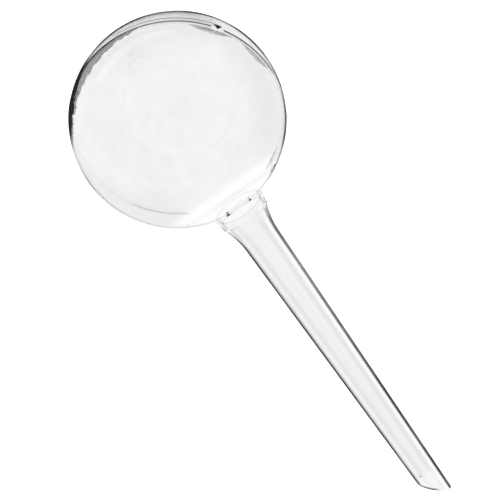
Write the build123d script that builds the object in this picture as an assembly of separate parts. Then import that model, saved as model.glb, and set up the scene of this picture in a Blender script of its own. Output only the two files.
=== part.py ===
from build123d import *
import os
from math import atan2, cos, hypot, radians, sin, sqrt, tan

# A clear watering globe, upright as it stands in soil: +Z up along the stem's axis,
# origin on that axis at the level of the stem's lowest point. Millimetres and degrees.

# Globe, in two halves that meet at a seam in the XZ plane
GLOBE_RADIUS = 30.0
GLOBE_WALL = 0.8
COLLAR_PROJECTION = 1.5   # collar face below the globe's round
COLLAR_OVERHANG = 0.5     # collar rim outside the stem's head
SHOULDER_RADIUS = 4.0     # hollow curve from the globe to the collar rim
THROAT_RADIUS = 3.6       # hole in the globe's wall above the neck

# Thin tapering neck under the collar, which pushes into the stem's flared head
NECK_LENGTH = 8.0
NECK_WALL = 0.7
FIT_CLEARANCE = 0.05

# Weld bead between the halves
BEAD_WIDTH = 1.0
BEAD_INSIDE = 0.5         # ridge that stands into the cavity
BEAD_CROWN = 0.1          # ridge that stands out of the globe
BEAD_STOP = 26.0          # angle from the neck's axis to each end of the bead

# Plug in the seam, on the +X side
PLUG_ANGLE = 54.0         # from the globe's top, along the seam
PLUG_RADIUS = 1.2
PLUG_HEAD_RADIUS = 1.8
PLUG_HEAD_HEIGHT = 0.4
PLUG_INSIDE = 1.0         # how far its round end stands into the cavity

# Gasket
GASKET_THICKNESS = 2.5

# Stem
STEM_LENGTH = 101.5
STEM_WALL = 0.7
STEM_TOP_RADIUS = 5.35    # at the foot of the flare
STEM_TIP_RADIUS = 3.6
HEAD_FLARE = 1.9          # head rim outside the stem below it
FLARE_HEIGHT = 9.6
HEAD_ROUND = 0.3
TIP_SLANT = 42.0          # the mouth's plane, from square to the axis; longest on the +X side

# Sizes that follow
head_radius = STEM_TOP_RADIUS + HEAD_FLARE
collar_radius = head_radius + COLLAR_OVERHANG
cavity_radius = GLOBE_RADIUS - GLOBE_WALL
head_z = STEM_LENGTH
collar_z = head_z + GASKET_THICKNESS
centre_z = collar_z + COLLAR_PROJECTION + GLOBE_RADIUS
neck_end_z = collar_z - NECK_LENGTH
flare_foot_z = head_z - FLARE_HEIGHT

# The flare curves about a centre outside the stem, leaves the tube smoothly and ends on the head's rim
stem_taper = atan2(STEM_TOP_RADIUS - STEM_TIP_RADIUS, flare_foot_z)
flare_rise = FLARE_HEIGHT - HEAD_ROUND
flare_lean = HEAD_FLARE * cos(stem_taper) - flare_rise * sin(stem_taper)
flare_radius = (flare_rise**2 + HEAD_FLARE**2) / (2 * flare_lean)
flare_centre = (STEM_TOP_RADIUS + flare_radius * cos(stem_taper),
                flare_foot_z - flare_radius * sin(stem_taper))
neck_depth = STEM_WALL + FIT_CLEARANCE
neck_bore_depth = neck_depth + NECK_WALL
globe_centre = Vector(0, 0, centre_z)


def arc_between(centre, radius, start, end):
    """The short arc about a centre from one point to another, in a flat profile."""
    middle = (Vector(*start) + Vector(*end)) / 2 - Vector(*centre)
    middle = Vector(*centre) + middle.normalized() * radius
    return ThreePointArc(start, (middle.X, middle.Y), end)


def turned_face(edges):
    """A profile drawn as radius and height, stood up in the XZ plane."""
    return Plane.XZ * make_face(Curve() + edges)


def towards(centre, other, distance):
    """The point at a distance from a centre, on the way to another point."""
    length = hypot(other[0] - centre[0], other[1] - centre[1])
    share = distance / length
    return (centre[0] + (other[0] - centre[0]) * share, centre[1] + (other[1] - centre[1]) * share)


def within_flare(depth, z):
    """Radius at a height of the curve that lies a depth inside the stem's flare."""
    return flare_centre[0] - sqrt((flare_radius + depth)**2 - (z - flare_centre[1])**2)


def flare_arc(depth, start_z, end_z):
    """Part of that curve, between two heights."""
    return arc_between(flare_centre, flare_radius + depth, (within_flare(depth, start_z), start_z),
                       (within_flare(depth, end_z), end_z))


def shoulder_centre():
    """Centre of the hollow curve that touches the globe and ends on the collar's rim."""
    rim_drop = centre_z - collar_z
    rim_reach = hypot(collar_radius, rim_drop)
    centre_reach = GLOBE_RADIUS + SHOULDER_RADIUS
    along = (centre_reach**2 - SHOULDER_RADIUS**2 + rim_reach**2) / (2 * rim_reach)
    beside = sqrt(centre_reach**2 - along**2)
    across = (along * collar_radius + beside * rim_drop) / rim_reach
    drop = (along * rim_drop - beside * collar_radius) / rim_reach
    return (across, centre_z - drop)


def globe_profile():
    """Section of the globe's wall, collar and neck, from the axis outwards."""
    centre = (0, centre_z)
    shoulder = shoulder_centre()
    rim = (collar_radius, collar_z)
    shoulder_start = towards(centre, shoulder, GLOBE_RADIUS)
    neck_radius = within_flare(neck_depth, head_z)
    neck_bore = within_flare(neck_bore_depth, head_z)
    roof_edge = (neck_bore, centre_z - sqrt(GLOBE_RADIUS**2 - neck_bore**2))
    hole_x = THROAT_RADIUS + GLOBE_WALL / 2
    hole_low = (hole_x, centre_z - sqrt(GLOBE_RADIUS**2 - hole_x**2))
    hole_high = (hole_x, centre_z - sqrt(cavity_radius**2 - hole_x**2))
    return turned_face([
        ThreePointArc((0, centre_z + GLOBE_RADIUS), (GLOBE_RADIUS, centre_z), shoulder_start),
        arc_between(shoulder, SHOULDER_RADIUS, shoulder_start, rim),
        Polyline(rim, (neck_radius, collar_z), (neck_radius, head_z)),
        flare_arc(neck_depth, head_z, neck_end_z),
        Line((within_flare(neck_depth, neck_end_z), neck_end_z),
             (within_flare(neck_bore_depth, neck_end_z), neck_end_z)),
        flare_arc(neck_bore_depth, neck_end_z, head_z),
        Line((neck_bore, head_z), roof_edge),
        arc_between(centre, GLOBE_RADIUS, roof_edge, hole_low),
        ThreePointArc(hole_low, (THROAT_RADIUS, (hole_low[1] + hole_high[1]) / 2), hole_high),
        ThreePointArc(hole_high, (cavity_radius, centre_z), (0, centre_z + cavity_radius)),
        Line((0, centre_z + cavity_radius), (0, centre_z + GLOBE_RADIUS)),
    ])


def bead_ring():
    """A ring right through the wall, over the globe's top from one side of the neck to the other."""
    half = BEAD_WIDTH / 2
    ridge = cavity_radius - BEAD_INSIDE
    ridge_side = cavity_radius - BEAD_INSIDE / 2
    section = make_face(Curve() + [
        Line((ridge_side, half), (GLOBE_RADIUS, half)),
        ThreePointArc((GLOBE_RADIUS, half), (GLOBE_RADIUS + BEAD_CROWN, 0), (GLOBE_RADIUS, -half)),
        Line((GLOBE_RADIUS, -half), (ridge_side, -half)),
        ThreePointArc((ridge_side, -half), (ridge, 0), (ridge_side, half)),
    ])
    stop = radians(BEAD_STOP)
    start = Plane(globe_centre, x_dir=(sin(stop), 0, -cos(stop)), z_dir=(cos(stop), 0, sin(stop)))
    return revolve(start * section, Axis(globe_centre, (0, -1, 0)), revolution_arc=360 - 2 * BEAD_STOP)


def plug_plane():
    """At the globe's centre, with Z along the plug's axis."""
    tilt = radians(PLUG_ANGLE)
    return Plane(globe_centre, x_dir=(0, 1, 0), z_dir=(sin(tilt), 0, cos(tilt)))


def plug_space(radius):
    """A round bar from inside the cavity out past the globe's surface, along the plug's axis."""
    start = cavity_radius / 2
    return plug_plane() * Pos(0, 0, start) * Cylinder(
        radius, GLOBE_RADIUS * 2 - start, align=(Align.CENTER, Align.CENTER, Align.MIN))


def seal_plug():
    """Round-headed plug: its shank fills the hole, and its head sits on the globe's surface."""
    seat = GLOBE_RADIUS + FIT_CLEARANCE
    head_top = GLOBE_RADIUS + PLUG_HEAD_HEIGHT
    inner_end = cavity_radius - PLUG_INSIDE
    rim_z = sqrt(seat**2 - PLUG_HEAD_RADIUS**2)
    neck_z = sqrt(seat**2 - PLUG_RADIUS**2)
    end_round = PLUG_INSIDE / 2
    end_corner = (PLUG_RADIUS - end_round, inner_end + end_round)
    profile = turned_face([
        Line((0, inner_end), (0, head_top)),
        ThreePointArc((0, head_top), towards((0, 0), (PLUG_HEAD_RADIUS / 2, rim_z),
                      head_top - PLUG_HEAD_HEIGHT / 4), (PLUG_HEAD_RADIUS, rim_z)),
        arc_between((0, 0), seat, (PLUG_HEAD_RADIUS, rim_z), (PLUG_RADIUS, neck_z)),
        Line((PLUG_RADIUS, neck_z), (PLUG_RADIUS, end_corner[1])),
        arc_between(end_corner, end_round, (PLUG_RADIUS, end_corner[1]), (end_corner[0], inner_end)),
        Line((end_corner[0], inner_end), (0, inner_end)),
    ])
    return plug_plane() * revolve(profile, Axis.Z)


def globe_shells():
    """The two half globes: each has half of the collar and of the neck, and a step for the bead."""
    half = revolve(globe_profile(), Axis.Z, revolution_arc=180)
    bead = bead_ring()
    hole = plug_space(PLUG_RADIUS + FIT_CLEARANCE)
    rear = half - bead - hole
    front = (Rot(0, 0, 180) * half) - bead - hole
    return front, rear


def seam_bead():
    """The weld bead between the halves, broken where the plug's head sits."""
    return bead_ring() - plug_space(PLUG_HEAD_RADIUS + FIT_CLEARANCE)


def neck_gasket():
    """Soft ring on the neck, between the collar and the stem's head."""
    inner = within_flare(neck_depth, head_z) + FIT_CLEARANCE
    profile = turned_face([
        Polyline((inner, head_z), (head_radius, head_z), (collar_radius, collar_z),
                 (inner, collar_z), (inner, head_z)),
    ])
    return revolve(profile, Axis.Z)


def stem_tube():
    """Flared head on a tapering tube with a slanted mouth, all of one wall."""
    round_start = (head_radius, head_z - HEAD_ROUND)
    round_end = (head_radius - HEAD_ROUND, head_z)
    rim_inner = (within_flare(STEM_WALL, head_z), head_z)
    bore_foot = (STEM_TOP_RADIUS - STEM_WALL * cos(stem_taper), flare_foot_z + STEM_WALL * sin(stem_taper))
    bore_tip = (STEM_TIP_RADIUS - STEM_WALL / cos(stem_taper), 0)
    profile = turned_face([
        Line((STEM_TIP_RADIUS, 0), (STEM_TOP_RADIUS, flare_foot_z)),
        arc_between(flare_centre, flare_radius, (STEM_TOP_RADIUS, flare_foot_z), round_start),
        arc_between((round_end[0], round_start[1]), HEAD_ROUND, round_start, round_end),
        Line(round_end, rim_inner),
        arc_between(flare_centre, flare_radius + STEM_WALL, rim_inner, bore_foot),
        Polyline(bore_foot, bore_tip, (STEM_TIP_RADIUS, 0)),
    ])
    slope = tan(radians(TIP_SLANT))
    mouth = Plane((0, 0, slope * STEM_TIP_RADIUS), z_dir=(-slope, 0, -1))
    return split(revolve(profile, Axis.Z), bisect_by=mouth, keep=Keep.BOTTOM)


front_shell, rear_shell = globe_shells()
nodes = {
    "globe_front_shell": front_shell,
    "globe_rear_shell": rear_shell,
    "seam_bead": seam_bead(),
    "seal_plug": seal_plug(),
    "neck_gasket": neck_gasket(),
    "stem_tube": stem_tube(),
}

os.makedirs("parts", exist_ok=True)
for name, shape in nodes.items():
    export_step(shape, f"parts/{name}.step")
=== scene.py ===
from math import acos, atan2, cos, hypot, pi, radians, sin, sqrt, tan

import bmesh
import bpy
from mathutils import Matrix, Vector, noise


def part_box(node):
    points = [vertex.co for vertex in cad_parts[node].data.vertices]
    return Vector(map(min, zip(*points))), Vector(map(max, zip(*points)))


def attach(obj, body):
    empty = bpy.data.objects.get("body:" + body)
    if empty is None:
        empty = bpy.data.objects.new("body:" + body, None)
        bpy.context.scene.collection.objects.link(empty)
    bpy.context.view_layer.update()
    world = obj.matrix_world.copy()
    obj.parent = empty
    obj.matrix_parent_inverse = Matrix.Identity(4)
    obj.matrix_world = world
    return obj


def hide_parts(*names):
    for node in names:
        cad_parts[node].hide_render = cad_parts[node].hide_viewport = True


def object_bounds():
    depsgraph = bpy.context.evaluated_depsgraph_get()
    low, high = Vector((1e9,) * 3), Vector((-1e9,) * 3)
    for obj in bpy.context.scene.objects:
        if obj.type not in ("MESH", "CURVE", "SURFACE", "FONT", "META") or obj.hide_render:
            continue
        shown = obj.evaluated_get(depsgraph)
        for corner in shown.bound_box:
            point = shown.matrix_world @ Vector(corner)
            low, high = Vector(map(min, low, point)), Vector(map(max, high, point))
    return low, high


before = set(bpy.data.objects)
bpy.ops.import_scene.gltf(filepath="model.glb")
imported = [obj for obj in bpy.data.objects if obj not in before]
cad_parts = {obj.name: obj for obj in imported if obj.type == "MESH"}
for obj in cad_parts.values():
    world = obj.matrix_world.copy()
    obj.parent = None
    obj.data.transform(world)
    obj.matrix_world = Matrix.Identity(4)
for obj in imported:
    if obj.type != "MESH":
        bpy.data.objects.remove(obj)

cad_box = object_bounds()

# Sizes, in metres. What the solids' boxes give is read from them, and the rest is named here.
MM = 0.001
GLOBE_WALL = 0.8 * MM
SHOULDER_RADIUS = 4.0 * MM
THROAT_RADIUS = 3.6 * MM
NECK_WALL = 0.7 * MM
FIT_CLEARANCE = 0.05 * MM
STEM_TOP_RADIUS = 5.35 * MM
STEM_TIP_RADIUS = 3.6 * MM
STEM_WALL = 0.7 * MM
FLARE_HEIGHT = 9.6 * MM
HEAD_ROUND = 0.3 * MM
TIP_SLANT = radians(42.0)
BEAD_WIDTH = 1.0 * MM
BEAD_STOP = radians(26.0)
PLUG_ANGLE = radians(54.0)
PLUG_RADIUS = 1.2 * MM
PLUG_HEAD_RADIUS = 1.8 * MM

gasket_low, gasket_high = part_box("neck_gasket")
front_low, front_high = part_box("globe_front_shell")
head_z = gasket_low.z
collar_z = gasket_high.z
collar_radius = gasket_high.x
head_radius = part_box("stem_tube")[1].x
globe_radius = -front_low.y
globe_z = front_high.z - globe_radius
neck_end_z = front_low.z
bead_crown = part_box("seam_bead")[1].x - globe_radius
cavity_radius = globe_radius - GLOBE_WALL

# The flare curves about a centre outside the stem, leaves the tube smoothly and ends on the head's rim
flare_foot_z = head_z - FLARE_HEIGHT
stem_taper = atan2(STEM_TOP_RADIUS - STEM_TIP_RADIUS, flare_foot_z)
flare_rise = FLARE_HEIGHT - HEAD_ROUND
head_flare = head_radius - STEM_TOP_RADIUS
flare_lean = head_flare * cos(stem_taper) - flare_rise * sin(stem_taper)
flare_radius = (flare_rise**2 + head_flare**2) / (2 * flare_lean)
flare_centre = (STEM_TOP_RADIUS + flare_radius * cos(stem_taper),
                flare_foot_z - flare_radius * sin(stem_taper))
neck_depth = STEM_WALL + FIT_CLEARANCE
neck_bore_depth = neck_depth + NECK_WALL

# Rounded edges and small gaps
COLLAR_RIM_ROUND = 0.12 * MM
NECK_ROOT_ROUND = 0.1 * MM
NECK_END_ROUND = 0.2 * MM
ROOF_ROUND = 0.15 * MM
HEAD_INNER_ROUND = 0.2 * MM
MOUTH_ROUND = 0.12 * MM
GASKET_ROUND = 0.35 * MM
FACE_GAP = 0.02 * MM
SEAM_GAP = 0.0004  # radians, from the seam's plane to each half

# The globe's uneven wall
UNEVEN_WALL = 0.1 * MM
UNEVEN_SCALE = 1.7
UNEVEN_FADE = 8

# The plug: its head, its dimple and its round end
PLUG_SEAT = 0.05 * MM
PLUG_CROWN = 0.38 * MM
PLUG_RIM = 0.06 * MM
PLUG_LIP = 0.01 * MM
PLUG_UNDERCUT = 0.04 * MM
PLUG_FILLET = 0.05 * MM
PLUG_INSIDE = 0.95 * MM
PLUG_END_ROUND = 0.5 * MM
DIMPLE_DEPTH = 0.1 * MM
DIMPLE_RADIUS = 0.25 * MM
DIMPLE_SLOPE = 0.03 * MM
CROWN_ANGLES = (0.3, 0.5, 0.7, 0.9, 1.1, 1.3, 1.45, pi / 2)

# The weld's section, as shares of its half width and height, and its stretches of flash: from and to,
# in degrees round the seam from the neck, and the greatest width, below zero on the viewer's side
ARCH = [(-1, 0), (-0.9, 0.45), (-0.7, 0.75), (-0.4, 0.95), (0, 1),
        (0.4, 0.95), (0.7, 0.75), (0.9, 0.45), (1, 0)]
PLUG_GAP = 1.9 * MM
CROWN_LIFT = 0.01 * MM
INSIDE_LIFT = 0.12 * MM
RIDGE_HEIGHT = 0.4 * MM
FLASHES = [(117, 142, -3.0 * MM), (90, 111, -3.0 * MM), (25, 41, 1.5 * MM)]
FLASH_GAP = 0.05 * MM
FLASH_END = 0.02 * MM
FLASH_THICKNESS = 0.12 * MM

# The weld's unevenness: waves for each radian of the seam, and each size's middle and swing
CROWN_WAVES = 9.0
RIDGE_WAVES = 14.0
FLASH_WAVES = 30.0
WIDTH_SHARES = (0.97, 0.03)
CROWN_SHARES = (0.75, 0.2)
RIDGE_SHARES = (0.85, 0.15)
FLASH_SHARES = (0.85, 0.3)

# Detail of the meshes
BALL_STEPS = 150
SHOULDER_STEPS = 16
FLARE_STEPS = 24
THROAT_STEPS = 20
HALF_COLUMNS = 110
STEM_COLUMNS = 144
STEM_STEPS = 120
GASKET_COLUMNS = 96
GASKET_STEPS = 6
PLUG_COLUMNS = 48
PLUG_END_STEPS = 8
BEAD_STEPS = 400
FLASH_STEPS = 80
FLASH_COLUMNS = 8
SAME_PLACE = 1e-7

# Places in the lists of materials
GLOBE_OUTSIDE, NECK_OUTSIDE, GLOBE_INSIDE, SEAM_FACE, NECK_INSIDE, COLLAR = range(6)
TUBE_OUTSIDE, TUBE_INSIDE = range(2)
WELD_CROWN, WELD_RIDGE, FLASH = range(3)

# The photograph's view: 500 pixels square, the globe nearer than the tip, the axis leaning to the left
FRAME_PIXELS = 500
GLOBE_PIXELS = 109.2
GLOBE_CENTRE = (177.5, 119.6)
AZIMUTH = radians(15.5)
ELEVATION = radians(21.3)
LEAN = radians(35.15)
LENS_MM = 1500.0
SENSOR_MM = 36.0
LIGHT_BOUNCES = 32
metres_per_pixel = globe_radius / GLOBE_PIXELS
level_right = Vector((cos(AZIMUTH), sin(AZIMUTH), 0))
level_up = Vector((-sin(AZIMUTH) * sin(ELEVATION), cos(AZIMUTH) * sin(ELEVATION), cos(ELEVATION)))
towards_camera = level_right.cross(level_up)
picture_right = cos(LEAN) * level_right - sin(LEAN) * level_up
picture_up = sin(LEAN) * level_right + cos(LEAN) * level_up

# The studio
FLOOR_SIZE = 4.0
FLOOR_GAP = 0.5 * MM
PANEL_HEIGHT = radians(51.0)
PANEL_LIGHT = 0.4
PANEL_AHEAD = (0.0, 0.3)
PANEL_WIDTH = (0.40, 0.60)
PANEL_DEPTH = (0.07, 0.13)

# Directions
UP = (0, 0, 1)
FRONT = (0, -1, 0)
REAR = (0, 1, 0)
NECK_SIDE = (0, 0, -1)
STEM_RIGHT = (0.96, 0.27, 0)
STEM_BACK = (-0.27, 0.96, 0)
MOUTH_LEFT = (-0.64, -0.77, 0)

# How much the clear stuffs bend light: thin clear walls inside one another go dark at full values
GLOBE_BENDING = 1.49
NEAR_NECK_BENDING = 1.002
NECK_BENDING = 1.01
GASKET_BENDING = 1.01
STEM_BENDING = 1.04
WELD_BENDING = 1.01
FLASH_BENDING = 1.02
PLUG_BENDING = 1.05

# Noises: scale and detail
HAZE_SPOTS = (400.0, 2.0)
RIPPLES = (150.0, 1.0)
GLOBE_CLOUDS = (45.0, 4.0)
GLOBE_SMUDGES = (260.0, 2.0)
RAGGED = (700.0, 4.0)
BAND_ENDS = (350.0, 3.0)
STEM_STREAKS = (600.0, 1.0)
STEM_PATCHES = (90.0, 2.0)
NECK_CLOUDS = (300.0, 3.0)
FINE_CLOUDS = (900.0, 3.0)
SEAM_CLOUDS = (400.0, 3.0)
WELD_CLOUDS = (500.0, 3.0)
FLASH_CLOUDS = (600.0, 4.0)

# In the finishes below, a pair of numbers says where a change starts and where it is complete.
# All clear stuff: spots of haze and fine ripples
HAZE_CHANGE = (0.4, 0.8)
RIPPLE_HEIGHT = 0.1 * MM
EDGE_GREY = 0.02
JOINT_GREY = 0.05
DARK_ROUGHNESS = 0.6

# The globe's plastic: mottled, greyed on some sides by painted shade, whitened by the neck by a painted
# highlight with one streak
CLOUD_SHARE = 0.6
SMUDGE_SHARE = 0.4
MOTTLED_CHANGE = (0.38, 0.62)
MOTTLED_GREYS = (0.96, 0.925)
# Painted shade greys the plastic towards these sides and towards these places on its edge
SHADED_SIDES = [(0.25, 0.2, 0.95), (0.84, 0.02, -0.54), (-0.74, -0.42, -0.53)]
SHADED_EDGES = [240, 285, 325]
SIDE_SHADE_RAGGED = 0.3
SIDE_SHADE_CHANGE = (0.75, 1.1)
SIDE_SHADE_GREY = 0.895
# Towards the neck: a painted highlight whitens the plastic there, and the wall hardly bends light
CLEAR_SIDE = (0.10, -0.35, -0.93)
NECK_HIGHLIGHT_RAGGED = 0.06
NECK_HIGHLIGHT_CHANGE = (0.75, 0.83)
STREAK_START = (0.86, 0.89)
STREAK_END = (0.90, 0.93)
STREAK_GREY = 0.97
NEAR_NECK_HEIGHT = 5.1 * MM
NEAR_NECK_REACH = cos(radians(31))

# Painted shade along its edge: degrees clockwise from the right of the photograph's view, reach to each
# side, depth
BASE_SHADE = 0.25
EDGE_SHADES = [(294, 90, 0.45), (190, 29, 0.8), (237, 20, 0.25), (264, 9, -0.2),
               (281, 14, 0.2), (312, 16, 0.3), (332, 10, -0.15), (352, 26, 0.28),
               (20, 18, 0.3), (143, 7, 0.3), (130, 14, 0.08)]
FULL_REACH = 0.6
EDGE_CLOUDINESS = 0.03
EDGE_CHANGE = (0.76, 0.87)
THICK_EDGE = 190
THICK_CHANGE = (0.86, 0.98)
THICK_SWELL = 0.16
THICK_RAGGED = 0.5

# Along its seam: a grey band of painted shade in front with a painted highlight line beside it, a dark line
# of painted shade behind, and patchy painted shade
BAND_SLOPE = 0.305
BAND_WIDTH = 2.9 * MM
BAND_RAGGED = 5.0 * MM
BAND_CHANGE = (0.0, 0.3 * MM)
BAND_AHEAD = (0.0, 0.5 * MM)
BAND_HEIGHT = (20.5 * MM, 22 * MM)
BAND_END_RAGGED = 2 * MM
BAND_SHARE = 0.62
BRIGHT_START = (-0.8 * MM, -0.5 * MM)
BRIGHT_END = (-0.2 * MM, 0.0)
LINE_BEHIND = 2.2 * MM
LINE_CHANGE = (0.2 * MM, 0.5 * MM)
LINE_SHARE = 0.65
SHADE_BEHIND = (0.0, 1.0 * MM)
SHADE_BEHIND_CLOUDS = (0.35, 0.6)
SHADE_BEHIND_SHARES = (0.1, 0.25)
SEAM_TOP = 155
SEAM_TOP_RAGGED = 0.05
SEAM_TOP_CHANGE = (0.86, 0.93)
TURNED_CHANGE = (0.3, 0.5)
NECK_RAGGED = 0.06
NECK_CHANGE = (0.86, 0.93)

# The stem: streaks drawn out along it, a grey line of painted shade and a bright line of painted highlight
# beside each edge, and edges of painted shade, the left edge softer
TUBE_TILT = radians(20)
TILT_SCALE = 1.064
TILT_SHIFT = 0.068
SIDE_CHANGE = (0.0, 1.0 * MM)
EDGE_NARROWING = 0.7
FLARE_NARROWING = 0.12
EDGE_SHIFT = 0.02
DRAWN_OUT = (1.0, 1.0, 0.025)
STEM_STREAK_CHANGE = (0.35, 0.65)
STEM_GREYS = (0.95, 0.93)
GREY_LINE_START = (0.02, 0.12)
GREY_LINE_END = (0.16, 0.22)
GREY_LINE = 0.885
BRIGHT_LINE_CHANGE = (0.22, 0.27)
BRIGHT_LINE_LEFT = 0.1
HEAD_CHANGE = (head_z - 4 * MM, head_z - 0.5 * MM)
HEAD_GREY = 0.96
TIP_CHANGE = (5 * MM, 7 * MM)
SOFT_EDGE = (0.29, 0.62)
SOFT_SHARE = 0.97
CRISP_EDGE = (0.33, 0.47)
CRISP_CHANGE = (30 * MM, 90 * MM)
CRISP_SHARES = (0.95, 0.85)
PALER_CHANGE = (head_z - 6 * MM, head_z)
PALER_SHARES = (1.0, 0.6)
PATCH_CHANGE = (0.2, 0.6)
PATCH_SHARES = (0.85, 1.0)
RIM_CHANGE = (0.5 * MM, 1.1 * MM)
RIM_LEFT_CHANGE = (1.2 * MM, 2.8 * MM)
RIM_SHARE = 0.85
TIP_SPECK = (-1.0 * MM, -3.6 * MM, 8.9 * MM)
TIP_SPECK_CHANGE = (0.2 * MM, 0.6 * MM)
TIP_SPECK_SHARE = 0.4

# The collar, the neck and the gasket: a pale edge of painted shade. The gasket has a faint line and specks
# of painted shade: x, y, size
PALE_EDGE_CHANGE = (0.5, 0.8)
PALE_EDGE_SHARE = 0.25
NECK_GREY = 0.96
GASKET_LINE_HEIGHT = (head_z + 0.4 * MM, head_z + 0.7 * MM)
GASKET_LINE_BACK = (3.5 * MM, 5.0 * MM)
GASKET_LINE_RAGGED = 1.0 * MM
GASKET_GREYS = (0.98, 0.85)
SPECKS = [(2.1 * MM, 6.4 * MM, 0.5 * MM), (-5.1 * MM, 4.4 * MM, 0.7 * MM)]
SPECK_HEIGHT = 0.4 * MM
SPECK_RAGGED = 0.4 * MM
SPECK_BLUR = 0.3 * MM
SPECK_SHARE = 0.9

# The plug: a dark mark like a tick
PLUG_GREY = 0.97
TICK_SHIFT = 0.1 * MM
TICK_SLOPE = 1.8
TICK_RAGGED = 0.3 * MM
TICK_CHANGE = (1.3 * MM, 1.6 * MM)
TICK_SHARE = 0.99

# The welded faces: a dark stretch past the globe's top
JOINT_DARK = 204
JOINT_RAGGED = 0.1
JOINT_CHANGE = (0.93, 1.03)
JOINT_SHARE = 0.8

# The weld: dark stretches, each degrees round the seam from the neck, raggedness, change, grey
WELD_GREY = 0.97
RIDGE_STRETCHES = [(30, 0.03, (0.985, 1.01), 0.3)]
CROWN_STRETCHES = [(150, 0.1, (0.5, 0.75), 0.3), (210, 0.05, (0.79, 1.0), 0.02),
                   (108, 0.05, (0.92, 0.98), 0.15), (318, 0.05, (0.96, 1.01), 0.6)] + RIDGE_STRETCHES

# The flash: uneven grey of painted shade, paler away from the weld and where it is seen face on
FLASH_CHANGE = (0.35, 0.65)
FLASH_GREYS = (0.2, 0.45)
FLASH_FAR = (2.2 * MM, 3.2 * MM)
FLASH_RAGGED = 0.6 * MM
FLASH_FAR_GREY = 0.75
FLASH_FACING_CHANGE = (0.25, 0.5)
FLASH_FACING_GREY = 0.85


def edge_side(degrees):
    """Direction from the globe's centre to a place on its edge in the photograph's view."""
    angle = radians(degrees)
    return cos(angle) * picture_right - sin(angle) * picture_up


def seam_side(degrees):
    """Direction from the globe's centre to a place on its seam, by the angle from the neck."""
    angle = radians(degrees)
    return Vector((sin(angle), 0, -cos(angle)))


class Value:
    """A node's output that Python's arithmetic works on."""

    def __init__(self, nodes, socket):
        self.nodes = nodes
        self.socket = socket

    def math(self, operation, first, second):
        return self.nodes.add("ShaderNodeMath", {"operation": operation}, {0: first, 1: second})

    def least(self, other):
        return self.math("MINIMUM", self, other)

    def most(self, other):
        return self.math("MAXIMUM", self, other)

    def __add__(self, other):
        return self.math("ADD", self, other)

    def __sub__(self, other):
        return self.math("SUBTRACT", self, other)

    def __rsub__(self, other):
        return self.math("SUBTRACT", other, self)

    def __mul__(self, other):
        return self.math("MULTIPLY", self, other)

    def __abs__(self):
        return self.math("ABSOLUTE", self, 0.0)

    __radd__ = __add__
    __rmul__ = __mul__


class Nodes:
    """Adds nodes to the tree of one material or of the world."""

    def __init__(self, owner):
        owner.use_nodes = True
        self.tree = owner.node_tree
        self.tree.nodes.clear()

    def add(self, kind, settings, sockets, output=0):
        """A new node with its settings and the values or links of its sockets."""
        node = self.tree.nodes.new(kind)
        for name, value in settings.items():
            setattr(node, name, value)
        for name, value in sockets.items():
            if isinstance(value, Value):
                self.tree.links.new(value.socket, node.inputs[name])
            else:
                node.inputs[name].default_value = value
        return Value(self, node.outputs[output]) if node.outputs else None

    def step(self, value, start, end, low=0.0, high=1.0):
        """Goes smoothly from low to high as the value goes from start to end."""
        return self.add("ShaderNodeMapRange", {"interpolation_type": "SMOOTHSTEP"},
                        {"Value": value, "From Min": start, "From Max": end, "To Min": low, "To Max": high})

    def fall(self, value, start, end, high=1.0):
        """Falls smoothly from high to nothing as the value goes from start to end."""
        return self.step(value, start, end, high, 0.0)

    def blend(self, share, first, second):
        """A colour between two."""
        return self.add("ShaderNodeMix", {"data_type": "RGBA"}, {0: share, 6: first, 7: second}, 2)

    def along(self, vector, direction):
        """How far a vector reaches in a direction."""
        return self.add("ShaderNodeVectorMath", {"operation": "DOT_PRODUCT"},
                        {0: vector, 1: tuple(direction)}, "Value")

    def apart(self, place, point):
        """Distance between a place and a point."""
        return self.add("ShaderNodeVectorMath", {"operation": "DISTANCE"}, {0: place, 1: point}, "Value")

    def noise(self, place, scale, detail):
        return self.add("ShaderNodeTexNoise", {}, {"Vector": place, "Scale": scale, "Detail": detail})


def grey(level):
    return (level, level, level, 1.0)


def clear_shader(nodes, place, colour, haze, ripple, bending):
    """Clear plastic of a colour, hazy in spots up to a roughness, and faintly rippled."""
    spots = nodes.noise(place, *HAZE_SPOTS)
    wave = nodes.noise(place, *RIPPLES)
    rippled = nodes.add("ShaderNodeBump", {},
                        {"Strength": ripple, "Distance": RIPPLE_HEIGHT, "Height": wave})
    return nodes.add("ShaderNodeBsdfPrincipled", {}, {
        "Base Color": colour,
        "Roughness": nodes.step(spots, *HAZE_CHANGE, 0.0, haze),
        "Transmission Weight": 1.0,
        "IOR": bending,
        "Normal": rippled,
    })


def dark_shader(nodes, level):
    """A dull dark grey."""
    return nodes.add("ShaderNodeBsdfPrincipled", {}, {
        "Base Color": grey(level),
        "Roughness": DARK_ROUGHNESS,
        "Specular IOR Level": 0.0,
    })


def facing_away(nodes):
    """How far a surface turns edge on: 0 face on, 1 edge on."""
    return nodes.add("ShaderNodeLayerWeight", {}, {"Blend": 0.5}, "Facing")


def turning_away(nodes):
    """How far the tube's side turns edge on, much the same from low and high: 0 face on, 1 edge on."""
    normal = nodes.add("ShaderNodeTexCoord", {}, {}, "Normal")
    to_world = {"vector_type": "NORMAL", "convert_from": "OBJECT", "convert_to": "WORLD"}
    tilted = []
    for tilt in (TUBE_TILT, -TUBE_TILT):
        lean = nodes.add("ShaderNodeVectorMath", {"operation": "ADD"}, {0: normal, 1: (0, 0, tan(tilt))})
        lean = nodes.add("ShaderNodeVectorMath", {"operation": "NORMALIZE"}, {0: lean})
        lean = nodes.add("ShaderNodeVectorTransform", to_world, {"Vector": lean})
        tilted.append(nodes.add("ShaderNodeLayerWeight", {}, {"Blend": 0.5, "Normal": lean}, "Facing"))
    return tilted[0].least(tilted[1]) * TILT_SCALE + TILT_SHIFT


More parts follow.
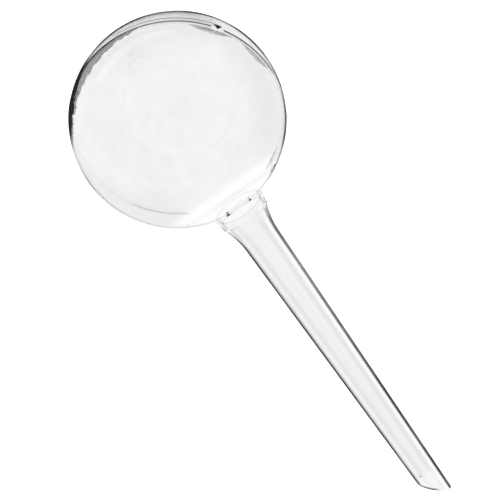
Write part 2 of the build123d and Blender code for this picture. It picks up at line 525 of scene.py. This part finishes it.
def edged(nodes, clear, share):
    """The same clear stuff with a share of dark on its outside: painted shade where it turns edge on, and
    dark marks.
    """
    inside = nodes.add("ShaderNodeNewGeometry", {}, {}, "Backfacing")
    dark = dark_shader(nodes, EDGE_GREY)
    return nodes.add("ShaderNodeMixShader", {}, {0: share * (1 - inside), 1: clear, 2: dark})


def finish(name):
    """A new material, its nodes and the place on the object that they work from."""
    material = bpy.data.materials.new(name)
    nodes = Nodes(material)
    return material, nodes, nodes.add("ShaderNodeTexCoord", {}, {}, "Object")


def shown(nodes, shader):
    nodes.add("ShaderNodeOutputMaterial", {}, {"Surface": shader})


def on_globe(nodes, place, direction):
    """How far a point lies from the globe's centre towards a direction: 1 is at the surface."""
    direction = Vector(direction).normalized()
    return nodes.along(place, direction / globe_radius) - globe_z * direction.z / globe_radius


def band_edge(nodes, place):
    """How far a point lies within the ragged edge of the grey band in front of the seam."""
    ragged = nodes.noise(place, *RAGGED) - 0.5
    return nodes.along(place, (-BAND_SLOPE, 1, 0)) + ragged * BAND_RAGGED + BAND_WIDTH


def beside_band(nodes, place):
    """1 over the stretch of the seam that has the band, 0 elsewhere."""
    height = nodes.along(place, UP) - globe_z
    ahead = nodes.step(nodes.along(place, FRONT), *BAND_AHEAD)
    return nodes.step(height + nodes.noise(place, *BAND_ENDS) * BAND_END_RAGGED, *BAND_HEIGHT) * ahead


def edge_shade(nodes, place, cloud, away):
    """Share of painted shade along the globe's uneven edge, which is thick and ragged on one side."""
    depth = BASE_SHADE
    for degrees, reach, more in EDGE_SHADES:
        near = on_globe(nodes, place, edge_side(degrees)) + (cloud - 0.5) * EDGE_CLOUDINESS
        depth = depth + nodes.step(near, cos(radians(reach)), cos(radians(reach * FULL_REACH))) * more
    ragged = nodes.noise(place, *RAGGED) - 0.5
    thick = nodes.step(on_globe(nodes, place, edge_side(THICK_EDGE)), *THICK_CHANGE)
    swell = thick * (THICK_SWELL + ragged * THICK_RAGGED)
    return nodes.step(away + swell, *EDGE_CHANGE) * depth.least(1.0)


def seam_shade(nodes, place, cloud, away):
    """Share of painted shade along the seam: a band in front of it, a line behind it, and patchy shade."""
    # Painted shade where the outside turns edge on: a ragged grey band in front of the seam, a dark line
    # behind it and patchy shade behind that
    band = nodes.step(band_edge(nodes, place), *BAND_CHANGE) * beside_band(nodes, place) * BAND_SHARE
    near = on_globe(nodes, place, seam_side(SEAM_TOP)) + cloud * SEAM_TOP_RAGGED
    top = nodes.step(near, *SEAM_TOP_CHANGE)
    behind = nodes.along(place, REAR)
    line = nodes.fall(abs(behind - LINE_BEHIND), *LINE_CHANGE) * top * LINE_SHARE
    haze = nodes.step(behind, *SHADE_BEHIND) * top * nodes.step(cloud, *SHADE_BEHIND_CLOUDS, *SHADE_BEHIND_SHARES)
    return band.most(line).most(haze) * nodes.step(away, *TURNED_CHANGE)


def globe_shade(nodes, place, cloud):
    """Share of painted shade on the globe's outside: along its edge and its seam, and none at the neck."""
    away = facing_away(nodes)
    shade = edge_shade(nodes, place, cloud, away).most(seam_shade(nodes, place, cloud, away))
    at_neck = nodes.step(on_globe(nodes, place, NECK_SIDE) + cloud * NECK_RAGGED, *NECK_CHANGE)
    return shade * (1 - at_neck)


def globe_colour(nodes, place, cloud):
    """Colour of the globe's plastic: mottled, greyer on some sides with painted shade, white near its neck
    with a painted highlight, and with a painted highlight beside the band.
    """
    smudge = nodes.noise(place, *GLOBE_SMUDGES)
    mottled = nodes.step(cloud * CLOUD_SHARE + smudge * SMUDGE_SHARE, *MOTTLED_CHANGE)
    colour = nodes.blend(mottled, grey(MOTTLED_GREYS[0]), grey(MOTTLED_GREYS[1]))
    # Painted shade: greyer towards some sides and places on the edge
    for side in SHADED_SIDES + [edge_side(degrees) for degrees in SHADED_EDGES]:
        side_shaded = nodes.step(on_globe(nodes, place, side) + cloud * SIDE_SHADE_RAGGED, *SIDE_SHADE_CHANGE)
        colour = nodes.blend(side_shaded, colour, grey(SIDE_SHADE_GREY))
    # Painted highlight: white towards the neck, with one grey streak
    near_neck = on_globe(nodes, place, CLEAR_SIDE) + cloud * NECK_HIGHLIGHT_RAGGED
    colour = nodes.blend(nodes.step(near_neck, *NECK_HIGHLIGHT_CHANGE), colour, grey(1.0))
    streak = nodes.step(near_neck, *STREAK_START) * nodes.fall(near_neck, *STREAK_END)
    colour = nodes.blend(streak, colour, grey(STREAK_GREY))
    # Painted highlight: a white line beside the grey band
    edge = band_edge(nodes, place)
    bright = nodes.step(edge, *BRIGHT_START) * nodes.fall(edge, *BRIGHT_END)
    return nodes.blend(bright * beside_band(nodes, place), colour, grey(1.0))


def globe_finish(name, outside, bending):
    """The globe's clear plastic. Its outside has an uneven dark edge of painted shade."""
    material, nodes, place = finish(name)
    cloud = nodes.noise(place, *GLOBE_CLOUDS)
    colour = globe_colour(nodes, place, cloud)
    clear = clear_shader(nodes, place, colour, haze=0.02, ripple=0.05, bending=bending)
    if outside:
        clear = edged(nodes, clear, globe_shade(nodes, place, cloud))
    shown(nodes, clear)
    return material


def stem_colour(nodes, place, height, right, away):
    """Colour of the stem's plastic: in streaks, with a grey line of painted shade and a bright line of
    painted highlight beside each edge.
    """
    drawn = nodes.add("ShaderNodeVectorMath", {"operation": "MULTIPLY"}, {0: place, 1: DRAWN_OUT})
    streak = nodes.step(nodes.noise(drawn, *STEM_STREAKS), *STEM_STREAK_CHANGE)
    colour = nodes.blend(streak, grey(STEM_GREYS[0]), grey(STEM_GREYS[1]))
    # Painted shade: a grey line beside each edge
    greyer = nodes.step(away, *GREY_LINE_START) * nodes.fall(away, *GREY_LINE_END)
    colour = nodes.blend(greyer, colour, grey(GREY_LINE))
    # Painted highlight: a bright line beside each edge, faint on the left
    bright = nodes.step(away, *BRIGHT_LINE_CHANGE) * (BRIGHT_LINE_LEFT + right * (1 - BRIGHT_LINE_LEFT))
    colour = nodes.blend(bright, colour, grey(1.0))
    colour = nodes.blend(nodes.step(height, *HEAD_CHANGE), colour, grey(HEAD_GREY))
    back = nodes.step(nodes.along(place, STEM_BACK), *SIDE_CHANGE)
    return nodes.blend(nodes.fall(height, *TIP_CHANGE) * back, colour, grey(1.0))


def stem_shade(nodes, place, height, right, away):
    """Share of dark on the stem's outside: painted shade along a soft and a crisp edge and along part of
    the mouth's rim, and a speck.
    """
    # Painted shade along a soft left edge and a crisp right edge
    soft = nodes.step(away, *SOFT_EDGE) * (1 - right) * SOFT_SHARE
    crisp = nodes.step(away, *CRISP_EDGE) * right * nodes.step(height, *CRISP_CHANGE, *CRISP_SHARES)
    patch = nodes.step(nodes.noise(place, *STEM_PATCHES), *PATCH_CHANGE, *PATCH_SHARES)
    edges = (soft + crisp) * patch * nodes.step(height, *PALER_CHANGE, *PALER_SHARES)
    # Painted shade along the left part of the mouth's rim
    rise = nodes.along(place, (tan(TIP_SLANT), 0, 1)) - STEM_TIP_RADIUS * tan(TIP_SLANT)
    left = nodes.step(nodes.along(place, MOUTH_LEFT), *RIM_LEFT_CHANGE)
    rim = nodes.fall(rise, *RIM_CHANGE) * left * RIM_SHARE
    speck = nodes.fall(nodes.apart(place, TIP_SPECK), *TIP_SPECK_CHANGE, TIP_SPECK_SHARE)
    return edges.most(rim + speck)


def stem_finish(name, outside):
    """The stem's clear plastic. Its outside has dark edges of painted shade, narrower towards the head."""
    material, nodes, place = finish(name)
    height = nodes.along(place, UP)
    right = nodes.step(nodes.along(place, STEM_RIGHT), *SIDE_CHANGE)
    flared = nodes.step(height, flare_foot_z, head_z) * (1 - right)
    away = turning_away(nodes) - height * EDGE_NARROWING - flared * FLARE_NARROWING - EDGE_SHIFT
    colour = stem_colour(nodes, place, height, right, away)
    clear = clear_shader(nodes, place, colour, haze=0.02, ripple=0.05, bending=STEM_BENDING)
    if outside:
        clear = edged(nodes, clear, stem_shade(nodes, place, height, right, away))
    shown(nodes, clear)
    return material


def pale_edge(nodes):
    """Share of painted shade along the faint edge of the collar, the neck and the gasket, where they turn
    edge on.
    """
    return nodes.step(facing_away(nodes), *PALE_EDGE_CHANGE) * PALE_EDGE_SHARE


def neck_finish(name):
    """Clear plastic of the collar and neck, with a pale edge of painted shade."""
    material, nodes, place = finish(name)
    colour = nodes.blend(nodes.noise(place, *NECK_CLOUDS), grey(1.0), grey(NECK_GREY))
    clear = clear_shader(nodes, place, colour, haze=0.02, ripple=0.1, bending=NECK_BENDING)
    shown(nodes, edged(nodes, clear, pale_edge(nodes)))
    return material


def gasket_finish(name):
    """Clear rubber with a pale edge of painted shade, a faint line round the bottom at the back and two
    dark specks of painted shade.
    """
    material, nodes, place = finish(name)
    cloud = nodes.noise(place, *FINE_CLOUDS)
    low = nodes.fall(nodes.along(place, UP), *GASKET_LINE_HEIGHT)
    line = low * nodes.step(nodes.along(place, STEM_BACK) + cloud * GASKET_LINE_RAGGED, *GASKET_LINE_BACK)
    colour = nodes.blend(line, grey(GASKET_GREYS[0]), grey(GASKET_GREYS[1]))
    clear = clear_shader(nodes, place, colour, haze=0.1, ripple=0.1, bending=GASKET_BENDING)
    shade = pale_edge(nodes)
    # Two dark specks of painted shade
    for x, y, size in SPECKS:
        apart = nodes.apart(place, (x, y, head_z + SPECK_HEIGHT)) + cloud * SPECK_RAGGED
        shade = shade + nodes.fall(apart, size, size + SPECK_BLUR, SPECK_SHARE)
    shown(nodes, edged(nodes, clear, shade.least(SPECK_SHARE)))
    return material


def plug_finish(name):
    """The plug: clear, with a dark mark like a tick."""
    material, nodes, place = finish(name)
    cloud = nodes.noise(place, *FINE_CLOUDS)
    up_seam = (-cos(PLUG_ANGLE), 0, sin(PLUG_ANGLE))
    beside = abs(nodes.along(place, up_seam) - globe_z * up_seam[2] - TICK_SHIFT)
    off_tick = abs(nodes.along(place, REAR) - beside * TICK_SLOPE) + cloud * TICK_RAGGED
    clear = clear_shader(nodes, place, grey(PLUG_GREY), haze=0.1, ripple=0.2, bending=PLUG_BENDING)
    shown(nodes, edged(nodes, clear, nodes.fall(off_tick, *TICK_CHANGE, TICK_SHARE)))
    return material


def joined_finish(name):
    """Faces where the halves are welded into one: light goes straight on, but for a dark stretch."""
    material, nodes, place = finish(name)
    cloud = nodes.noise(place, *SEAM_CLOUDS)
    near = on_globe(nodes, place, seam_side(JOINT_DARK)) + cloud * JOINT_RAGGED
    past_top = nodes.step(near, *JOINT_CHANGE)
    through = nodes.add("ShaderNodeBsdfTransparent", {}, {})
    dark = dark_shader(nodes, JOINT_GREY)
    shown(nodes, nodes.add("ShaderNodeMixShader", {}, {0: past_top * JOINT_SHARE, 1: through, 2: dark}))
    return material


def weld_finish(name, stretches):
    """Weld: almost clear but for its dark stretches."""
    material, nodes, place = finish(name)
    cloud = nodes.noise(place, *WELD_CLOUDS)
    colour = grey(WELD_GREY)
    for degrees, ragged, change, level in stretches:
        near = on_globe(nodes, place, seam_side(degrees)) + cloud * ragged
        colour = nodes.blend(nodes.step(near, *change), colour, grey(level))
    shown(nodes, clear_shader(nodes, place, colour, haze=0.05, ripple=0.1, bending=WELD_BENDING))
    return material


def flash_shade_finish(name):
    """Thin flash squeezed out beside the weld: uneven grey of painted shade, paler away from it."""
    material, nodes, place = finish(name)
    cloud = nodes.noise(place, *FLASH_CLOUDS)
    # The flash's grey is painted shade, darker where it turns edge on
    colour = nodes.blend(nodes.step(cloud, *FLASH_CHANGE), grey(FLASH_GREYS[0]), grey(FLASH_GREYS[1]))
    far = nodes.step(nodes.along(place, FRONT) + cloud * FLASH_RAGGED, *FLASH_FAR)
    colour = nodes.blend(far, colour, grey(FLASH_FAR_GREY))
    away = nodes.step(facing_away(nodes), *FLASH_FACING_CHANGE)
    colour = nodes.blend(away, grey(FLASH_FACING_GREY), colour)
    shown(nodes, clear_shader(nodes, place, colour, haze=0.1, ripple=0.3, bending=FLASH_BENDING))
    return material


def piece(name, vertices, faces, materials, face_materials, body, node):
    """A new mesh that stands for a solid and moves with its body. Faces of many corners stay flat."""
    mesh = bpy.data.meshes.new(name)
    mesh.from_pydata(vertices, [], faces)
    for material in materials:
        mesh.materials.append(material)
    mesh.polygons.foreach_set("material_index", face_materials)
    mesh.polygons.foreach_set("use_smooth", [len(face) <= 4 for face in faces])
    bm = bmesh.new()
    bm.from_mesh(mesh)
    bmesh.ops.remove_doubles(bm, verts=bm.verts, dist=SAME_PLACE)
    bmesh.ops.recalc_face_normals(bm, faces=bm.faces)
    for face in bm.faces:
        if not face.smooth:
            for edge in face.edges:
                edge.smooth = False
    bm.to_mesh(mesh)
    bm.free()
    obj = bpy.data.objects.new(name, mesh)
    bpy.context.collection.objects.link(obj)
    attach(obj, body)
    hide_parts(node)
    return obj


def column(profile, azimuth):
    """Points of a profile of radii and heights, at an angle round the axis."""
    return [(r * cos(azimuth), r * sin(azimuth), z) for r, z in profile]


def ring_faces(left, right, count):
    """Faces between two columns of points whose profile is a closed line."""
    return [[left + i, left + (i + 1) % count, right + (i + 1) % count, right + i] for i in range(count)]


def axis_faces(left, right, count):
    """Faces between two columns of points whose profile starts and ends on the axis."""
    faces = [[left + i, left + i + 1, right + i + 1, right + i] for i in range(count - 1)]
    faces[0].pop()
    faces[-1].pop(2)
    return faces


def arc(centre, radius, first, last, steps):
    """Points of an arc in a profile, by angle."""
    angles = [first + (last - first) * i / steps for i in range(steps + 1)]
    return [(centre[0] + radius * cos(a), centre[1] + radius * sin(a)) for a in angles]


def straight(first, last, steps):
    """Points from one to another in a profile, both included."""
    return [(first[0] + (last[0] - first[0]) * i / steps, first[1] + (last[1] - first[1]) * i / steps)
            for i in range(steps + 1)]


def rounded(corner, before, after, radius, steps=5):
    """Points that round a profile's corner between the points before and after it."""
    corner, before, after = Vector(corner), Vector(before), Vector(after)
    into = (before - corner).normalized()
    out = (after - corner).normalized()
    half = acos(max(-1.0, min(1.0, into.dot(out)))) / 2
    centre = corner + (into + out).normalized() * (radius / sin(half))
    first = corner + into * (radius / tan(half)) - centre
    last = corner + out * (radius / tan(half)) - centre
    return [tuple(centre + radius * first.slerp(last, i / steps)) for i in range(steps + 1)]


def shoulder_centre():
    """Centre of the hollow curve that touches the globe and ends on the collar's rim."""
    rim_drop = globe_z - collar_z
    rim_reach = hypot(collar_radius, rim_drop)
    centre_reach = globe_radius + SHOULDER_RADIUS
    along = (centre_reach**2 - SHOULDER_RADIUS**2 + rim_reach**2) / (2 * rim_reach)
    beside = sqrt(centre_reach**2 - along**2)
    across = (along * collar_radius + beside * rim_drop) / rim_reach
    drop = (along * rim_drop - beside * collar_radius) / rim_reach
    return (across, globe_z - drop)


def within_flare(depth, z):
    """Radius at a height of the curve that lies a depth inside the stem's flare."""
    return flare_centre[0] - sqrt((flare_radius + depth)**2 - (z - flare_centre[1])**2)


def flare_line(depth, first_z, last_z):
    """Points of that curve from one height to another."""
    heights = [first_z + (last_z - first_z) * i / FLARE_STEPS for i in range(FLARE_STEPS + 1)]
    return [(within_flare(depth, z), z) for z in heights]


def globe_outside():
    """Profile of the globe down to its collar, from the top."""
    shoulder = shoulder_centre()
    meeting = atan2(shoulder[1] - globe_z, shoulder[0])
    ball = arc((0, globe_z), globe_radius, pi / 2, meeting, BALL_STEPS)
    end = atan2(collar_z - shoulder[1], collar_radius - shoulder[0])
    return ball + arc(shoulder, SHOULDER_RADIUS, meeting + pi, end % (2 * pi), SHOULDER_STEPS)[1:]


def neck_outside(shoulder_end):
    """Profile of the collar's rim and face and of the outside of the tapering neck, downwards."""
    rim = (collar_radius, collar_z)
    root = (within_flare(neck_depth, head_z), collar_z)
    taper = flare_line(neck_depth, head_z, neck_end_z)
    end = (within_flare(neck_bore_depth, neck_end_z), neck_end_z)
    return (rounded(rim, shoulder_end, root, COLLAR_RIM_ROUND)
            + rounded(root, rim, taper[0], NECK_ROOT_ROUND)
            + taper[:-2]
            + rounded(taper[-1], taper[-3], end, NECK_END_ROUND))


def cavity_line(azimuth, start):
    """Profile of the globe's uneven inside wall, upwards from the angle where the throat meets it."""
    points = []
    for i in range(BALL_STEPS + 1):
        angle = start + (pi / 2 - start) * i / BALL_STEPS
        direction = Vector((cos(angle) * cos(azimuth), cos(angle) * sin(azimuth), sin(angle)))
        fade = min(1.0, UNEVEN_FADE * i / BALL_STEPS)
        radius = cavity_radius + UNEVEN_WALL * fade * noise.noise(direction * UNEVEN_SCALE)
        points.append((radius * cos(angle), globe_z + radius * sin(angle)))
    return points


def globe_inside(azimuth):
    """Profile of the neck's bore, the throat and the cavity, upwards."""
    taper = flare_line(neck_bore_depth, neck_end_z, head_z)
    end = (within_flare(neck_depth, neck_end_z), neck_end_z)
    neck_bore = taper[-1][0]
    roof_edge = atan2(-sqrt(globe_radius**2 - neck_bore**2), neck_bore)
    hole_x = THROAT_RADIUS + GLOBE_WALL / 2
    hole_low = atan2(-sqrt(globe_radius**2 - hole_x**2), hole_x)
    meeting = atan2(-sqrt(cavity_radius**2 - hole_x**2), hole_x)
    roof = arc((0, globe_z), globe_radius, roof_edge, hole_low, THROAT_STEPS)
    hole_z = (roof[-1][1] + globe_z + cavity_radius * sin(meeting)) / 2
    hole = arc((hole_x, hole_z), GLOBE_WALL / 2, -pi / 2, -3 * pi / 2, THROAT_STEPS)
    bore = rounded(taper[0], end, taper[2], NECK_END_ROUND) + taper[2:-1]
    throat = rounded(roof[0], taper[-1], roof[4], ROOF_ROUND) + roof[4:] + hole[1:-1]
    return bore + throat + cavity_line(azimuth, meeting)


def near_neck(point):
    """Whether a point of the globe's wall is near the neck, where the wall hardly shows."""
    direction = (Vector(point) - Vector((0, 0, globe_z))).normalized()
    on_clear_side = direction.dot(Vector(CLEAR_SIDE).normalized()) > NEAR_NECK_REACH
    return on_clear_side or point[2] < collar_z + NEAR_NECK_HEIGHT


def half_globe(name, node, first_azimuth, materials):
    """One half of the globe, welded to the other along the seam's plane."""
    ball = globe_outside()
    outside = ball[:-1] + neck_outside(ball[-2])
    vertices = []
    for j in range(HALF_COLUMNS + 1):
        azimuth = first_azimuth + SEAM_GAP + (pi - 2 * SEAM_GAP) * j / HALF_COLUMNS
        profile = outside + globe_inside(azimuth)
        vertices += column(profile, azimuth)
    count = len(profile)
    faces = []
    face_materials = []
    for left in range(0, HALF_COLUMNS * count, count):
        faces += axis_faces(left, left + count, count)
        for i in range(count - 1):
            by_neck = near_neck(vertices[left + i + 1])
            if i < len(ball):
                face_materials.append(NECK_OUTSIDE if by_neck else GLOBE_OUTSIDE)
            elif i < len(outside) - 1:
                face_materials.append(COLLAR)
            else:
                face_materials.append(NECK_INSIDE if by_neck else GLOBE_INSIDE)
    for start in (0, HALF_COLUMNS * count):
        faces.append(list(range(start, start + count)))
        face_materials.append(SEAM_FACE)
    return piece(name, vertices, faces, materials, face_materials, "globe", node)


def mouth_point(tip_radius, azimuth):
    """Where the tube's outside or bore, of a radius at the tip, meets the plane of the slanted mouth."""
    slope = tan(TIP_SLANT)
    lean = cos(azimuth)
    z = slope * (STEM_TIP_RADIUS - tip_radius * lean) / (1 + slope * tan(stem_taper) * lean)
    return (tip_radius + z * tan(stem_taper), z)


def stem(materials):
    """The stem: a flared head on a tapering tube that is cut off at a slant."""
    bore_tip = STEM_TIP_RADIUS - STEM_WALL / cos(stem_taper)
    rim_inner = (within_flare(STEM_WALL, head_z), head_z)
    rim_outer = (head_radius, head_z)
    flare = flare_line(0.0, head_z - HEAD_ROUND, flare_foot_z)
    funnel = flare_line(STEM_WALL, flare_foot_z, head_z)
    head = (rounded(rim_inner, funnel[-3], rim_outer, HEAD_INNER_ROUND)
            + rounded(rim_outer, rim_inner, flare[0], HEAD_ROUND)[:-1])
    vertices = []
    for j in range(STEM_COLUMNS):
        azimuth = 2 * pi * j / STEM_COLUMNS
        outer = mouth_point(STEM_TIP_RADIUS, azimuth)
        inner = mouth_point(bore_tip, azimuth)
        end = rounded(outer, flare[-1], inner, MOUTH_ROUND) + rounded(inner, outer, funnel[0], MOUTH_ROUND)
        profile = head + flare[:-1] + straight(flare[-1], end[0], STEM_STEPS)
        profile += end[1:-1] + straight(end[-1], funnel[0], STEM_STEPS) + funnel[1:-2]
        vertices += column(profile, azimuth)
    count = len(profile)
    outside_start = len(head) - 2
    outside_end = len(head) + len(flare) - 1 + STEM_STEPS + len(end) // 2 - 1
    faces = []
    face_materials = []
    for j in range(STEM_COLUMNS):
        faces += ring_faces(j * count, (j + 1) % STEM_COLUMNS * count, count)
        for i in range(count):
            face_materials.append(TUBE_OUTSIDE if outside_start <= i < outside_end else TUBE_INSIDE)
    return piece("stem_wall", vertices, faces, materials, face_materials,
                 "stem", "stem_tube")


def turned(name, profile, place, columns, material, body, node):
    """A round piece from a profile: a ring, or closed at both ends where its profile is on the axis."""
    vertices = []
    for j in range(columns):
        vertices += [place @ Vector(point) for point in column(profile, 2 * pi * j / columns)]
    count = len(profile)
    between = axis_faces if profile[0][0] == 0 and profile[-1][0] == 0 else ring_faces
    faces = []
    for j in range(columns):
        faces += between(j * count, (j + 1) % columns * count, count)
    return piece(name, vertices, faces, [material], [0] * len(faces), body, node)


def gasket(material):
    """Soft ring with rounded edges between the collar and the stem's head."""
    inner = within_flare(neck_depth, head_z) + FIT_CLEARANCE
    low = head_z + FACE_GAP
    high = collar_z - FACE_GAP
    corners = [(inner, low), (head_radius, low), (collar_radius, high), (inner, high)]
    profile = []
    for i, corner in enumerate(corners):
        profile += rounded(corner, corners[i - 1], corners[(i + 1) % 4], GASKET_ROUND, GASKET_STEPS)
    return turned("neck_ring", profile, Matrix(), GASKET_COLUMNS, material,
                  "neck_seal", "neck_gasket")


def plug(material):
    """Round-headed plug in the seam, with a small dimple where it was cut from its runner."""
    seat = globe_radius + PLUG_SEAT
    top = globe_radius + PLUG_CROWN
    end = cavity_radius - PLUG_INSIDE
    rim = sqrt(seat**2 - PLUG_HEAD_RADIUS**2)
    shank = sqrt(seat**2 - PLUG_RADIUS**2)
    crown_foot = rim + PLUG_RIM
    profile = [(0, top - DIMPLE_DEPTH), (DIMPLE_RADIUS, top - DIMPLE_DEPTH + DIMPLE_SLOPE)]
    profile += [(PLUG_HEAD_RADIUS * sin(a), crown_foot + (top - crown_foot) * cos(a)) for a in CROWN_ANGLES]
    profile += [(PLUG_HEAD_RADIUS - PLUG_UNDERCUT, rim + PLUG_LIP),
                (PLUG_RADIUS + PLUG_FILLET, shank),
                (PLUG_RADIUS, shank - PLUG_FILLET)]
    profile += arc((PLUG_RADIUS - PLUG_END_ROUND, end + PLUG_END_ROUND), PLUG_END_ROUND,
                   0, -pi / 2, PLUG_END_STEPS)
    profile += [(0, end)]
    place = Matrix.Translation((0, 0, globe_z)) @ Matrix.Rotation(PLUG_ANGLE, 4, "Y")
    return turned("seam_plug", profile, place, PLUG_COLUMNS, material,
                  "globe", "seal_plug")


def seam_point(angle, radius, across):
    """A point by its angle from the neck round the seam and its distances from the centre and the seam."""
    level = sqrt(radius**2 - across**2)
    return (level * sin(angle), across, globe_z - level * cos(angle))


def swept(sections):
    """Points and faces of a closed strip through equal sections, with its two ends closed."""
    count = len(sections[0])
    vertices = [point for section in sections for point in section]
    faces = []
    for k in range(len(sections) - 1):
        faces += ring_faces(k * count, (k + 1) * count, count)
    faces.append(list(range(count)))
    faces.append(list(range(len(vertices) - count, len(vertices))))
    return vertices, faces


def seam_wave(angle, waves, row):
    """A smooth random wave along the seam, one of several rows."""
    return noise.noise(Vector((angle * waves, row, 0.0)))


def uneven(size, shares, swing):
    """A size about its middle share, more or less by its swing."""
    return size * (shares[0] + shares[1] * swing)


def weld(first, last):
    """Sections of one length of weld: a low uneven crown outside and a ridge inside."""
    steps = int(BEAD_STEPS * (last - first) / (2 * pi)) + 2
    crown_foot = globe_radius + CROWN_LIFT
    ridge_foot = cavity_radius - INSIDE_LIFT
    crowns = []
    ridges = []
    for k in range(steps + 1):
        angle = first + (last - first) * k / steps
        swing = seam_wave(angle, CROWN_WAVES, 0.0)
        width = uneven(BEAD_WIDTH / 2, WIDTH_SHARES, swing)
        crown = uneven(bead_crown, CROWN_SHARES, swing)
        ridge = uneven(RIDGE_HEIGHT, RIDGE_SHARES, seam_wave(angle, RIDGE_WAVES, 3.0))
        crowns.append([seam_point(angle, crown_foot + crown * h, width * t) for t, h in ARCH])
        ridges.append([seam_point(angle, ridge_foot - ridge * h, width * t) for t, h in ARCH])
    return crowns, ridges


def flash(first, last, widest):
    """Sections of one stretch of flash, in degrees from the neck: ragged, and widest in the middle."""
    sections = []
    side = 1 if widest > 0 else -1
    edge = side * (BEAD_WIDTH / 2 + FLASH_GAP)
    top = cavity_radius - INSIDE_LIFT
    for k in range(FLASH_STEPS + 1):
        share = k / FLASH_STEPS
        angle = radians(first + (last - first) * share)
        swing = seam_wave(angle, FLASH_WAVES, 5.0)
        width = uneven(widest * sin(pi * share), FLASH_SHARES, swing) + side * FLASH_END
        across = [edge + width * i / FLASH_COLUMNS for i in range(FLASH_COLUMNS + 1)]
        sections.append([seam_point(angle, top, y) for y in across]
                        + [seam_point(angle, top - FLASH_THICKNESS, y) for y in reversed(across)])
    return sections


def bead(materials):
    """The weld in two lengths, one to each side of the plug, and its stretches of flash."""
    plug_at = pi - PLUG_ANGLE
    gap = PLUG_GAP / globe_radius
    strips = []
    for first, last in [(BEAD_STOP, plug_at - gap), (plug_at + gap, 2 * pi - BEAD_STOP)]:
        crowns, ridges = weld(first, last)
        strips += [(crowns, WELD_CROWN), (ridges, WELD_RIDGE)]
    strips += [(flash(*stretch), FLASH) for stretch in FLASHES]
    vertices = []
    faces = []
    face_materials = []
    for sections, material in strips:
        more_vertices, more_faces = swept(sections)
        faces += [[len(vertices) + i for i in face] for face in more_faces]
        face_materials += [material] * len(more_faces)
        vertices += more_vertices
    return piece("seam_weld", vertices, faces, materials, face_materials,
                 "globe", "seam_bead")


def floor():
    """A plain white floor, far wider than the view."""
    mesh = bpy.data.meshes.new("floor")
    corners = [(-FLOOR_SIZE, -FLOOR_SIZE, 0), (FLOOR_SIZE, -FLOOR_SIZE, 0),
               (FLOOR_SIZE, FLOOR_SIZE, 0), (-FLOOR_SIZE, FLOOR_SIZE, 0)]
    mesh.from_pydata(corners, [], [(0, 1, 2, 3)])
    material = bpy.data.materials.new("floor_white")
    nodes = Nodes(material)
    shown(nodes, nodes.add("ShaderNodeBsdfPrincipled", {}, {
        "Base Color": grey(0.8),
        "Roughness": 0.9,
        "Emission Color": grey(1.0),
        "Emission Strength": 0.7,
    }))
    mesh.materials.append(material)
    obj = bpy.data.objects.new("floor", mesh)
    obj.location.z = cad_box[0].z - FLOOR_GAP
    obj.visible_glossy = False
    obj.visible_transmission = False
    bpy.context.collection.objects.link(obj)


def studio():
    """Soft white light from all round, with one bright strip panel high up behind the object."""
    world = bpy.data.worlds.new("studio")
    bpy.context.scene.world = world
    nodes = Nodes(world)
    direction = nodes.add("ShaderNodeTexCoord", {}, {}, "Generated")
    behind = Vector((-towards_camera.x, -towards_camera.y, 0)).normalized()
    panel = behind * cos(PANEL_HEIGHT) + Vector((0, 0, sin(PANEL_HEIGHT)))
    panel_right = behind.cross(Vector(UP))
    panel_up = panel_right.cross(panel)
    ahead = nodes.step(nodes.along(direction, panel), *PANEL_AHEAD)
    beside = nodes.fall(abs(nodes.along(direction, panel_right)), *PANEL_WIDTH)
    above = nodes.fall(abs(nodes.along(direction, panel_up)), *PANEL_DEPTH)
    seen = nodes.add("ShaderNodeLightPath", {}, {}, "Is Camera Ray")
    light = nodes.add("ShaderNodeBackground", {}, {
        "Color": grey(1.0),
        "Strength": 1 + ahead * beside * above * (1 - seen) * PANEL_LIGHT,
    })
    nodes.add("ShaderNodeOutputWorld", {}, {"Surface": light})


def camera():
    """A long lens at the photograph's viewing angle."""
    data = bpy.data.cameras.new("camera")
    data.lens = LENS_MM
    data.sensor_width = SENSOR_MM
    obj = bpy.data.objects.new("camera", data)
    bpy.context.collection.objects.link(obj)
    distance = FRAME_PIXELS * metres_per_pixel * LENS_MM / SENSOR_MM
    right = FRAME_PIXELS / 2 - GLOBE_CENTRE[0]
    down = FRAME_PIXELS / 2 - GLOBE_CENTRE[1]
    aim = Vector((0, 0, globe_z)) + metres_per_pixel * (right * picture_right - down * picture_up)
    matrix = Matrix((picture_right, picture_up, towards_camera)).transposed().to_4x4()
    matrix.translation = aim + distance * towards_camera
    obj.matrix_world = matrix
    bpy.context.scene.camera = obj
    bpy.context.scene.view_settings.view_transform = "Standard"
    bpy.context.scene.cycles.max_bounces = LIGHT_BOUNCES
    bpy.context.scene.cycles.transmission_bounces = LIGHT_BOUNCES


camera()
floor()
studio()

# In the order of the materials' places
globe_materials = [
    globe_finish("globe_clear", True, GLOBE_BENDING),
    globe_finish("neck_clear", True, NEAR_NECK_BENDING),
    globe_finish("globe_inside_clear", False, GLOBE_BENDING),
    joined_finish("seam_joined"),
    globe_finish("neck_inside_clear", False, NEAR_NECK_BENDING),
    neck_finish("collar_clear"),
]
stem_materials = [stem_finish("stem_clear", True), stem_finish("stem_bore_clear", False)]
weld_materials = [
    weld_finish("weld_grey", CROWN_STRETCHES),
    weld_finish("weld_inside_clear", RIDGE_STRETCHES),
    flash_shade_finish("flash_shade_grey"),
]
half_globe("globe_front_wall", "globe_front_shell", pi, globe_materials)
half_globe("globe_rear_wall", "globe_rear_shell", 0.0, globe_materials)
bead(weld_materials)
plug(plug_finish("plug_grey"))
gasket(gasket_finish("gasket_clear"))
stem(stem_materials)
